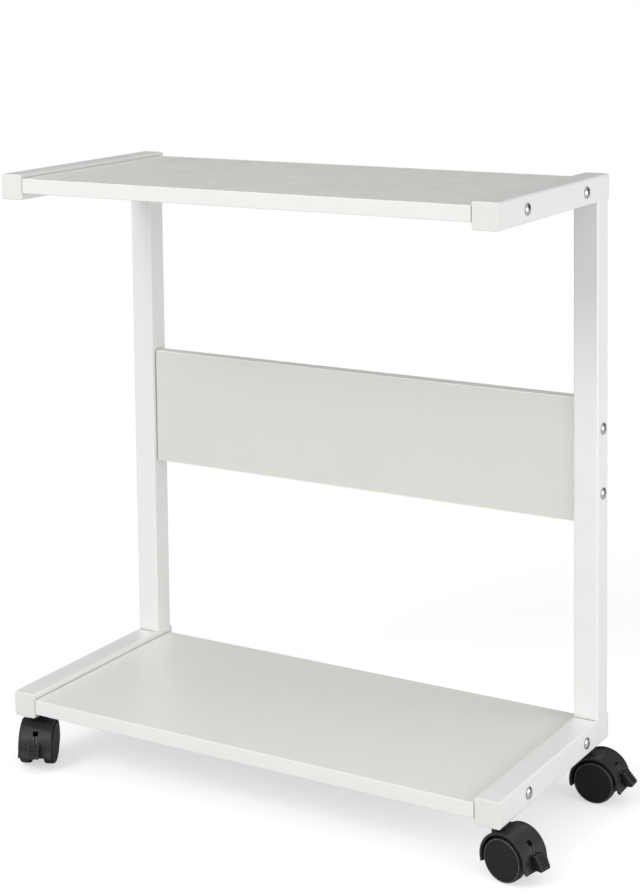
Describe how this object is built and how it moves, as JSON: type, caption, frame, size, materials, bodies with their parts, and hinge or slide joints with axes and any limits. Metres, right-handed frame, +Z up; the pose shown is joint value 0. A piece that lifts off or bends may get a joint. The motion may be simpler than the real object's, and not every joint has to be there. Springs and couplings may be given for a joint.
{
  "type": "rolling computer stand",
  "caption": "Low rolling computer stand: white square-tube C side frames, upper and lower boards, a back panel and hooded casters with brake levers.",
  "frame": {"origin": "on the floor at the centre of the footprint", "axes": "+Z up, +X to the right seen from the open front, +Y towards the back panel"},
  "size_m": [0.6127, 0.2843, 0.6115],
  "materials": {
    "powder_coated_tube": "satin white powder coat",
    "white_plug_plastic": "satin moulded",
    "melamine_board": "off-white melamine faces over particle board",
    "edge_band": "satin",
    "chromed_bolt": "bright",
    "zinc_steel": "zinc plated",
    "black_hood_plastic": "moulded nylon, fine texture",
    "black_wheel_plastic": "moulded nylon, smooth"
  },
  "bodies": {
    "stand": {"side_frame_left": "powder_coated_tube", "side_frame_right": "powder_coated_tube", "rail_end_plugs": "white_plug_plastic", "upper_shelf_board": "melamine_board", "upper_shelf_edge_bands": "edge_band", "lower_shelf_board": "melamine_board", "lower_shelf_edge_bands": "edge_band", "back_panel_board": "melamine_board", "back_panel_edge_bands": "edge_band", "shelf_bolts": "chromed_bolt", "panel_bolts": "chromed_bolt", "shelf_dowel_nuts": "zinc_steel", "panel_dowel_nuts": "zinc_steel", "caster_weld_nuts": "zinc_steel", "stem_snap_rings": "zinc_steel", "caster_front_left_stem": "zinc_steel", "caster_front_right_stem": "zinc_steel", "caster_back_left_stem": "zinc_steel", "caster_back_right_stem": "zinc_steel"},
    "front_left_fork": {"caster_front_left_hood": "black_hood_plastic", "caster_front_left_axle": "zinc_steel"},
    "front_left_wheel_a": {"caster_front_left_wheel_a": "black_wheel_plastic"},
    "front_left_wheel_b": {"caster_front_left_wheel_b": "black_wheel_plastic"},
    "front_left_lever": {"caster_front_left_brake_lever": "black_hood_plastic"},
    "front_right_fork": {"caster_front_right_hood": "black_hood_plastic", "caster_front_right_axle": "zinc_steel"},
    "front_right_wheel_a": {"caster_front_right_wheel_a": "black_wheel_plastic"},
    "front_right_wheel_b": {"caster_front_right_wheel_b": "black_wheel_plastic"},
    "front_right_lever": {"caster_front_right_brake_lever": "black_hood_plastic"},
    "back_left_fork": {"caster_back_left_hood": "black_hood_plastic", "caster_back_left_axle": "zinc_steel"},
    "back_left_wheel_a": {"caster_back_left_wheel_a": "black_wheel_plastic"},
    "back_left_wheel_b": {"caster_back_left_wheel_b": "black_wheel_plastic"},
    "back_left_lever": {"caster_back_left_brake_lever": "black_hood_plastic"},
    "back_right_fork": {"caster_back_right_hood": "black_hood_plastic", "caster_back_right_axle": "zinc_steel"},
    "back_right_wheel_a": {"caster_back_right_wheel_a": "black_wheel_plastic"},
    "back_right_wheel_b": {"caster_back_right_wheel_b": "black_wheel_plastic"},
    "back_right_lever": {"caster_back_right_brake_lever": "black_hood_plastic"}
  },
  "joints": [
    {"name": "front_left_swivel", "type": "hinge", "parent": "stand", "child": "front_left_fork", "pos_m": [-0.2598, -0.0985, 0.04], "axis": [0, 0, 1], "continuous": true},
    {"name": "front_left_wheel_a_spin", "type": "hinge", "parent": "front_left_fork", "child": "front_left_wheel_a", "pos_m": [-0.25366, -0.11108, 0.0204], "axis": [0.8988, 0.4384, 0], "continuous": true},
    {"name": "front_left_wheel_b_spin", "type": "hinge", "parent": "front_left_fork", "child": "front_left_wheel_b", "pos_m": [-0.25366, -0.11108, 0.0204], "axis": [0.8988, 0.4384, 0], "continuous": true},
    {"name": "front_left_brake", "type": "hinge", "parent": "front_left_fork", "child": "front_left_lever", "pos_m": [-0.25366, -0.11108, 0.0204], "axis": [-0.8988, -0.4384, 0], "range_deg": [0, 11]},
    {"name": "front_right_swivel", "type": "hinge", "parent": "stand", "child": "front_right_fork", "pos_m": [0.2598, -0.0985, 0.04], "axis": [0, 0, 1], "continuous": true},
    {"name": "front_right_wheel_a_spin", "type": "hinge", "parent": "front_right_fork", "child": "front_right_wheel_a", "pos_m": [0.27352, -0.10129, 0.0204], "axis": [0.1994, 0.9799, 0], "continuous": true},
    {"name": "front_right_wheel_b_spin", "type": "hinge", "parent": "front_right_fork", "child": "front_right_wheel_b", "pos_m": [0.27352, -0.10129, 0.0204], "axis": [0.1994, 0.9799, 0], "continuous": true},
    {"name": "front_right_brake", "type": "hinge", "parent": "front_right_fork", "child": "front_right_lever", "pos_m": [0.27352, -0.10129, 0.0204], "axis": [-0.1994, -0.9799, 0], "range_deg": [0, 11]},
    {"name": "back_left_swivel", "type": "hinge", "parent": "stand", "child": "back_left_fork", "pos_m": [-0.2598, 0.0985, 0.04], "axis": [0, 0, 1], "continuous": true},
    {"name": "back_left_wheel_a_spin", "type": "hinge", "parent": "back_left_fork", "child": "back_left_wheel_a", "pos_m": [-0.27053, 0.1075, 0.0204], "axis": [-0.6428, -0.766, 0], "continuous": true},
    {"name": "back_left_wheel_b_spin", "type": "hinge", "parent": "back_left_fork", "child": "back_left_wheel_b", "pos_m": [-0.27053, 0.1075, 0.0204], "axis": [-0.6428, -0.766, 0], "continuous": true},
    {"name": "back_left_brake", "type": "hinge", "parent": "back_left_fork", "child": "back_left_lever", "pos_m": [-0.27053, 0.1075, 0.0204], "axis": [0.6428, 0.766, 0], "range_deg": [0, 11]},
    {"name": "back_right_swivel", "type": "hinge", "parent": "stand", "child": "back_right_fork", "pos_m": [0.2598, 0.0985, 0.04], "axis": [0, 0, 1], "continuous": true},
    {"name": "back_right_wheel_a_spin", "type": "hinge", "parent": "back_right_fork", "child": "back_right_wheel_a", "pos_m": [0.27379, 0.09906, 0.0204], "axis": [-0.0401, 0.9992, 0], "continuous": true},
    {"name": "back_right_wheel_b_spin", "type": "hinge", "parent": "back_right_fork", "child": "back_right_wheel_b", "pos_m": [0.27379, 0.09906, 0.0204], "axis": [-0.0401, 0.9992, 0], "continuous": true},
    {"name": "back_right_brake", "type": "hinge", "parent": "back_right_fork", "child": "back_right_lever", "pos_m": [0.27379, 0.09906, 0.0204], "axis": [0.0401, -0.9992, 0], "range_deg": [-5, 6]}
  ]
}
